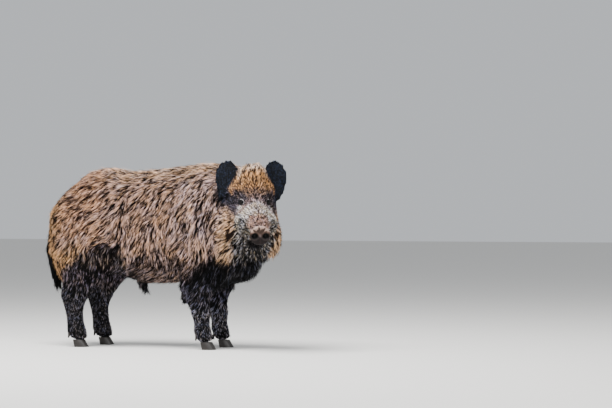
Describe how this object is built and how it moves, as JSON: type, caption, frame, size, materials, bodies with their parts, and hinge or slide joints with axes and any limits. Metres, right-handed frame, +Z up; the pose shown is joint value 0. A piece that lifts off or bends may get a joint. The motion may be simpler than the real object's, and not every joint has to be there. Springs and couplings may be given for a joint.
{
  "type": "wild boar",
  "caption": "Life-size wild boar in thick winter coat, standing with its head turned to its right and its mouth closed, as a still display model.",
  "frame": {"origin": "on the floor, under the middle of the model's bounding box", "axes": "+X along the body towards the chest, +Y to the animal's left, +Z up; the soles are on Z = 0"},
  "size_m": [1.2364, 0.5064, 0.8481],
  "materials": {
    "coat_body": "dense winter bristles over felted underwool, dull",
    "coat_head": "short bristles, ginger over the brow and pale across the nose",
    "coat_dark": "black-brown bristles of the legs, tail and jaw",
    "coat_ear": "short black hair with a soft fringe",
    "snout_skin": "bare damp skin, grey pink and dark round the nostrils",
    "eye": "dark brown, wet gloss",
    "horn": "worn black horn"
  },
  "bodies": {
    "root": {"dewclaw_front_left_left": "horn", "dewclaw_front_left_right": "horn", "dewclaw_front_right_left": "horn", "dewclaw_front_right_right": "horn", "dewclaw_hind_left_left": "horn", "dewclaw_hind_left_right": "horn", "dewclaw_hind_right_left": "horn", "dewclaw_hind_right_right": "horn", "ear_left": "coat_ear", "ear_right": "coat_ear", "eye_left": "eye", "eye_right": "eye", "foot_front_left": "coat_dark", "foot_front_right": "coat_dark", "foot_hind_left": "coat_dark", "foot_hind_right": "coat_dark", "head": "coat_head", "hoof_front_left_left": "horn", "hoof_front_left_right": "horn", "hoof_front_right_left": "horn", "hoof_front_right_right": "horn", "hoof_hind_left_left": "horn", "hoof_hind_left_right": "horn", "hoof_hind_right_left": "horn", "hoof_hind_right_right": "horn", "leg_front_left": "coat_dark", "leg_front_right": "coat_dark", "leg_hind_left": "coat_dark", "leg_hind_right": "coat_dark", "lower_jaw": "coat_dark", "neck": "coat_body", "sheath": "coat_body", "snout_disc": "snout_skin", "tail": "coat_dark", "trunk": "coat_body"}
  },
  "joints": []
}
